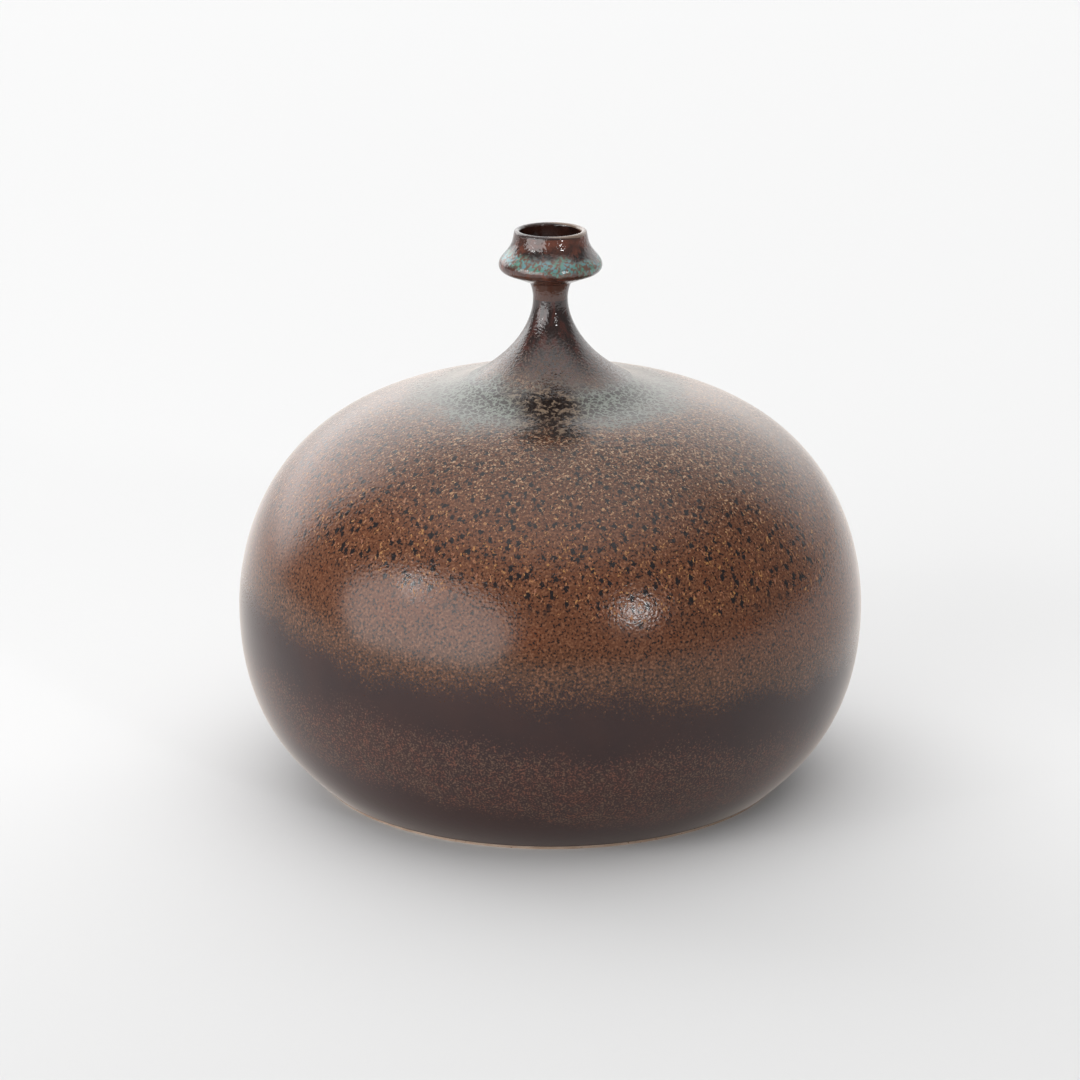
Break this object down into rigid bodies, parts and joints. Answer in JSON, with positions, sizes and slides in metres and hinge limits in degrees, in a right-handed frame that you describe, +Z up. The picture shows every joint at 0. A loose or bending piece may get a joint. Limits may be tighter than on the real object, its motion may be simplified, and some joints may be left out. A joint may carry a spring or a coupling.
{
  "type": "stoneware vase",
  "caption": "Round-bellied stoneware vase with a narrow waisted neck, a small flared collar round the mouth and a wiped foot ring.",
  "frame": {"origin": "centre of the foot, on the surface that the vase stands on", "axes": "+Z up along the axis that the vase was thrown on; the form is the same all round, and -Y is the side that the picture shows"},
  "size_m": [0.27, 0.27, 0.24],
  "materials": {
    "buff_stoneware": "bare fired stoneware, fine matt grain, warm buff",
    "slip": "fired luting slip, matt, hidden under the glaze",
    "satin_aubergine_glaze": "satin dark aubergine glaze with a fine brown speckle",
    "speckled_brown_glaze": "satin brown glaze with tan flecks and dark iron spots",
    "gloss_chocolate_glaze": "glossy chocolate glaze, fine speckle towards the shoulder",
    "copper_mottled_glaze": "glossy rust-brown glaze breaking to turquoise on the skirt",
    "liner_glaze": "glossy red-brown liner glaze"
  },
  "bodies": {
    "root": {"foot_ring": "buff_stoneware", "lower_body": "buff_stoneware", "belly_seam": "slip", "upper_body": "buff_stoneware", "neck_seam": "slip", "neck": "buff_stoneware", "collar_seam": "slip", "mouth_collar": "buff_stoneware", "lower_glaze": "satin_aubergine_glaze", "upper_glaze": "speckled_brown_glaze", "neck_glaze": "gloss_chocolate_glaze", "collar_glaze": "copper_mottled_glaze", "mouth_glaze": "liner_glaze", "body_liner": "liner_glaze"}
  },
  "joints": []
}
